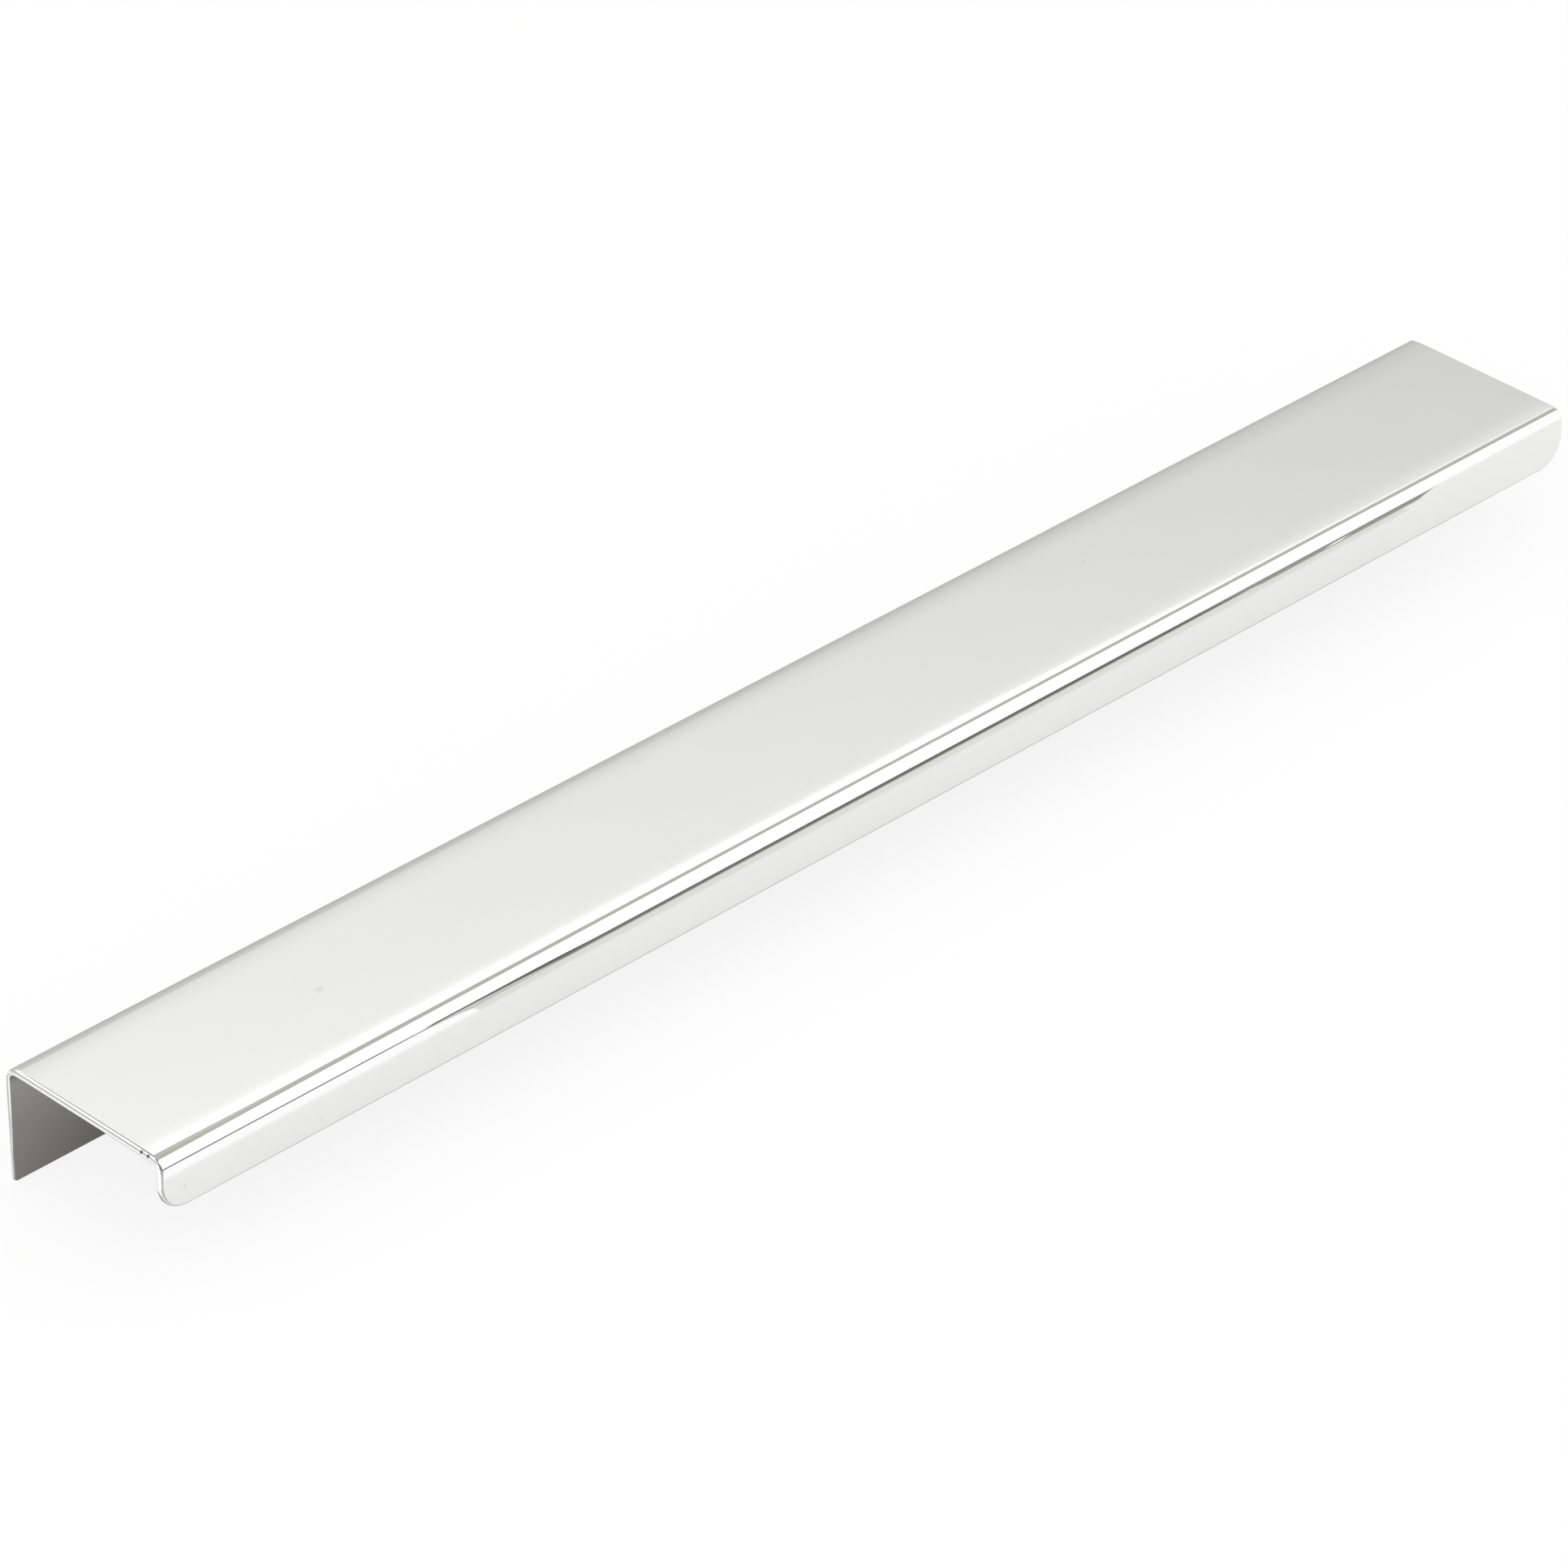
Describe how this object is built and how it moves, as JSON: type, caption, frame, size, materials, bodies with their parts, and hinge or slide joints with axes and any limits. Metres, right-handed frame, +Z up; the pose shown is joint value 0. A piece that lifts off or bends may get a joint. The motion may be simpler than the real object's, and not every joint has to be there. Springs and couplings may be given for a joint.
{
  "type": "lip pull",
  "caption": "Edge-mounted pull folded from one polished sheet: a flat top plate, a deep screw flange behind the board and a short rounded lip in front for the fingers.",
  "frame": {"origin": "centre of the row of screw holes, at mid-length, on the inner face of the back flange (the face that lies against the back of the board)", "axes": "+X along the pull, +Y away from the board's back, +Z up, so the top plate is level and the lip hangs at -Y"},
  "size_m": [0.35, 0.04, 0.0238],
  "materials": {
    "polished_sheet": "mirror polished sheet metal with softened, polished edges"
  },
  "bodies": {
    "root": {"folded_pull": "polished_sheet"}
  },
  "joints": []
}
